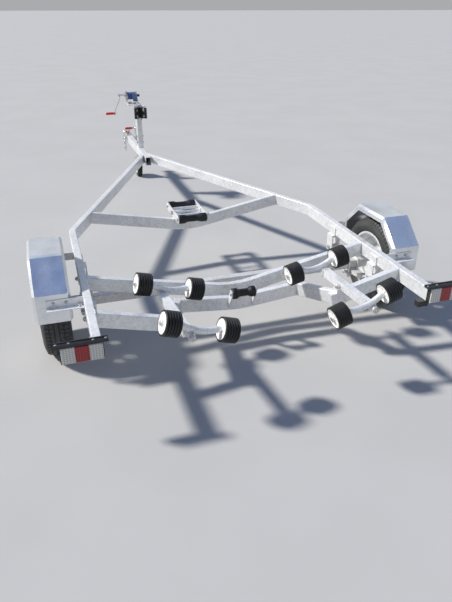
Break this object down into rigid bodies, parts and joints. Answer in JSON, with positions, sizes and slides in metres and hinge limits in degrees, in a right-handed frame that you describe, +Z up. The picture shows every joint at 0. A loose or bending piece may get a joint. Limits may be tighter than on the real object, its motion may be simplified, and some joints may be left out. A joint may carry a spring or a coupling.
{
  "type": "boat trailer",
  "caption": "Single-axle boat trailer with bent box-tube frame, folded guards, rocking hull rollers, keel rollers, winch post with winch, ball coupling and jockey wheel.",
  "frame": {"origin": "bottom centre of the bounding box, on the ground", "axes": "+X to the right side of the trailer, +Y towards the coupling, +Z up"},
  "size_m": [2.16, 4.5972, 0.9792],
  "materials": {
    "axle_steel": "galvanised, dull",
    "black_plastic": "satin",
    "black_rubber": "satin",
    "blue_webbing": "woven",
    "galvanised": "hot-dip galvanised, spangled",
    "lens_clear": "clear moulded",
    "lens_red": "clear moulded",
    "red_plastic": "moulded grip",
    "tyre": "matt",
    "zinc_plated": "zinc plated"
  },
  "bodies": {
    "chassis": {"axle_beam": "axle_steel", "bow_stop": "black_rubber", "bow_stop_bracket": "galvanised", "coupling_body": "zinc_plated", "cross_member_front": "galvanised", "cross_member_middle": "galvanised", "cross_member_rear": "galvanised", "drawbar": "galvanised", "front_keel_mount": "galvanised", "guard_brackets": "galvanised", "guard_left": "galvanised", "guard_right": "galvanised", "jockey_clamp": "zinc_plated", "jockey_grip": "red_plastic", "jockey_tube": "zinc_plated", "lamp_bars": "black_plastic", "lamp_brackets": "galvanised", "lamp_lenses_clear": "lens_clear", "lamp_lenses_red": "lens_red", "leaf_springs": "axle_steel", "middle_keel_mount": "galvanised", "plate_lamp": "black_plastic", "rail_left": "galvanised", "rail_right": "galvanised", "rocker_beam_left": "galvanised", "rocker_beam_right": "galvanised", "safety_chain": "zinc_plated", "spring_hangers": "galvanised", "winch_frame": "zinc_plated", "winch_hook": "zinc_plated", "winch_post": "galvanised"},
    "wheel_left": {"tyre_left": "tyre", "rim_left": "galvanised"},
    "rocker_front_left": {"rocker_front_left": "galvanised"},
    "roller_front_left_outer": {"roller_front_left_outer": "black_rubber"},
    "roller_front_left_inner": {"roller_front_left_inner": "black_rubber"},
    "rocker_rear_left": {"rocker_rear_left": "galvanised"},
    "roller_rear_left_outer": {"roller_rear_left_outer": "black_rubber"},
    "roller_rear_left_inner": {"roller_rear_left_inner": "black_rubber"},
    "wheel_right": {"tyre_right": "tyre", "rim_right": "galvanised"},
    "rocker_front_right": {"rocker_front_right": "galvanised"},
    "roller_front_right_outer": {"roller_front_right_outer": "black_rubber"},
    "roller_front_right_inner": {"roller_front_right_inner": "black_rubber"},
    "rocker_rear_right": {"rocker_rear_right": "galvanised"},
    "roller_rear_right_outer": {"roller_rear_right_outer": "black_rubber"},
    "roller_rear_right_inner": {"roller_rear_right_inner": "black_rubber"},
    "keel_cradle": {"keel_cradle": "galvanised"},
    "keel_roller_front": {"keel_roller_front": "black_rubber"},
    "keel_roller_rear": {"keel_roller_rear": "black_rubber"},
    "keel_roller_middle": {"keel_roller_middle": "black_rubber"},
    "winch_drum": {"winch_drum": "zinc_plated", "winch_gear": "zinc_plated", "winch_strap": "blue_webbing"},
    "winch_crank": {"winch_crank": "zinc_plated", "winch_grip": "red_plastic"},
    "coupling_lever": {"coupling_lever": "zinc_plated"},
    "jockey_stem": {"jockey_stem": "zinc_plated"},
    "jockey_fork": {"jockey_fork": "zinc_plated"},
    "jockey_wheel": {"jockey_wheel": "black_rubber"}
  },
  "joints": [
    {"name": "wheel_left_spin", "type": "hinge", "parent": "chassis", "child": "wheel_left", "pos_m": [-0.99, -1.47741, 0.272], "axis": [1, 0, 0], "continuous": true},
    {"name": "rocker_front_left_pivot", "type": "hinge", "parent": "chassis", "child": "rocker_front_left", "pos_m": [-0.4521, -1.74914, 0.38105], "axis": [-0.0627, 0.9971, -0.0436], "range_deg": [-10, 10]},
    {"name": "roller_front_left_outer_spin", "type": "hinge", "parent": "rocker_front_left", "child": "roller_front_left_outer", "pos_m": [-0.54312, -1.75181, 0.45092], "axis": [-0.9647, -0.0494, 0.2586], "continuous": true},
    {"name": "roller_front_left_inner_spin", "type": "hinge", "parent": "rocker_front_left", "child": "roller_front_left_inner", "pos_m": [-0.27106, -1.73789, 0.378], "axis": [-0.9647, -0.0494, 0.2586], "continuous": true},
    {"name": "rocker_rear_left_pivot", "type": "hinge", "parent": "chassis", "child": "rocker_rear_left", "pos_m": [-0.42212, -2.22575, 0.4019], "axis": [-0.0627, 0.9971, -0.0436], "range_deg": [-10, 10]},
    {"name": "roller_rear_left_outer_spin", "type": "hinge", "parent": "rocker_rear_left", "child": "roller_rear_left_outer", "pos_m": [-0.50936, -2.22798, 0.47643], "axis": [-0.95, -0.0463, 0.3087], "continuous": true},
    {"name": "roller_rear_left_inner_spin", "type": "hinge", "parent": "rocker_rear_left", "child": "roller_rear_left_inner", "pos_m": [-0.24146, -2.21493, 0.38938], "axis": [-0.95, -0.0463, 0.3087], "continuous": true},
    {"name": "wheel_right_spin", "type": "hinge", "parent": "chassis", "child": "wheel_right", "pos_m": [0.99, -1.47741, 0.272], "axis": [1, 0, 0], "continuous": true},
    {"name": "rocker_front_right_pivot", "type": "hinge", "parent": "chassis", "child": "rocker_front_right", "pos_m": [0.46766, -1.74977, 0.39037], "axis": [-0.0593, 0.9982, 0], "range_deg": [-10, 10]},
    {"name": "roller_front_right_outer_spin", "type": "hinge", "parent": "rocker_front_right", "child": "roller_front_right_outer", "pos_m": [0.56203, -1.74417, 0.45544], "axis": [0.9764, 0.058, 0.2079], "continuous": true},
    {"name": "roller_front_right_inner_spin", "type": "hinge", "parent": "rocker_front_right", "child": "roller_front_right_inner", "pos_m": [0.28668, -1.76052, 0.39681], "axis": [0.9764, 0.058, 0.2079], "continuous": true},
    {"name": "rocker_rear_right_pivot", "type": "hinge", "parent": "chassis", "child": "rocker_rear_right", "pos_m": [0.49601, -2.22693, 0.39037], "axis": [-0.0593, 0.9982, 0], "range_deg": [-10, 10]},
    {"name": "roller_rear_right_outer_spin", "type": "hinge", "parent": "rocker_rear_right", "child": "roller_rear_right_outer", "pos_m": [0.58436, -2.22168, 0.46344], "axis": [0.9546, 0.0567, 0.2924], "continuous": true},
    {"name": "roller_rear_right_inner_spin", "type": "hinge", "parent": "rocker_rear_right", "child": "roller_rear_right_inner", "pos_m": [0.31516, -2.23768, 0.38099], "axis": [0.9546, 0.0567, 0.2924], "continuous": true},
    {"name": "keel_cradle_pivot", "type": "hinge", "parent": "chassis", "child": "keel_cradle", "pos_m": [0, -0.51541, 0.386], "axis": [1, 0, 0], "range_deg": [-8, 8]},
    {"name": "keel_roller_front_spin", "type": "hinge", "parent": "keel_cradle", "child": "keel_roller_front", "pos_m": [0, -0.35541, 0.386], "axis": [1, 0, 0], "continuous": true},
    {"name": "keel_roller_rear_spin", "type": "hinge", "parent": "keel_cradle", "child": "keel_roller_rear", "pos_m": [0, -0.67541, 0.386], "axis": [1, 0, 0], "continuous": true},
    {"name": "keel_roller_middle_spin", "type": "hinge", "parent": "chassis", "child": "keel_roller_middle", "pos_m": [0, -1.74341, 0.318], "axis": [1, 0, 0], "continuous": true},
    {"name": "winch_drum_spin", "type": "hinge", "parent": "chassis", "child": "winch_drum", "pos_m": [0, 1.42259, 0.935], "axis": [1, 0, 0], "continuous": true},
    {"name": "winch_crank_spin", "type": "hinge", "parent": "chassis", "child": "winch_crank", "pos_m": [0, 1.47859, 0.935], "axis": [1, 0, 0], "continuous": true},
    {"name": "coupling_lever_lift", "type": "hinge", "parent": "chassis", "child": "coupling_lever", "pos_m": [0, 2.16259, 0.468], "axis": [-1, 0, 0], "range_deg": [0, 60]},
    {"name": "jockey_lift", "type": "slide", "parent": "chassis", "child": "jockey_stem", "axis": [0, 0, 1], "range_m": [-0.06, 0.08]},
    {"name": "jockey_castor", "type": "hinge", "parent": "jockey_stem", "child": "jockey_fork", "pos_m": [0.072, 1.94259, 0.222], "axis": [0, 0, 1], "continuous": true},
    {"name": "jockey_wheel_spin", "type": "hinge", "parent": "jockey_fork", "child": "jockey_wheel", "pos_m": [0.072, 1.98459, 0.1], "axis": [1, 0, 0], "continuous": true}
  ],
  "couplings": [
    {"joint": "winch_crank_spin", "follows": "winch_drum_spin", "ratio": -3}
  ]
}
